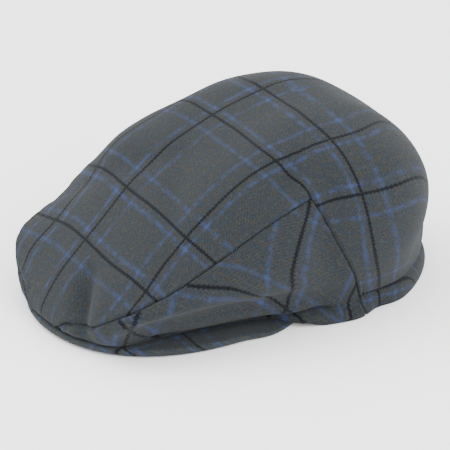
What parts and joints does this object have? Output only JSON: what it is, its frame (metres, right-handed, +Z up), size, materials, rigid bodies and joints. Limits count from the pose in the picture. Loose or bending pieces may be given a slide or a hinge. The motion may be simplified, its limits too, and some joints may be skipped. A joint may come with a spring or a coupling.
{
  "type": "tweed flat cap",
  "caption": "Flat cap in grey-olive twill tweed with a dark and blue windowpane check, a one-piece top that runs down the back, pointed side panels and a cloth-covered peak",
  "frame": {"origin": "middle of the bounding box in plan, on the floor the hem rests on", "axes": "+Z up, -Y towards the tip of the peak, +X towards the wearer's left"},
  "size_m": [0.1878, 0.2676, 0.121],
  "materials": {
    "tweed": "brushed wool twill",
    "side_tweed": "brushed wool twill",
    "right_tweed": "brushed wool twill",
    "peak_tweed": "brushed wool twill over a stiff board"
  },
  "bodies": {
    "root": {"top_panel": "tweed", "side_panel_left": "side_tweed", "side_panel_right": "right_tweed", "peak": "peak_tweed"}
  },
  "joints": []
}
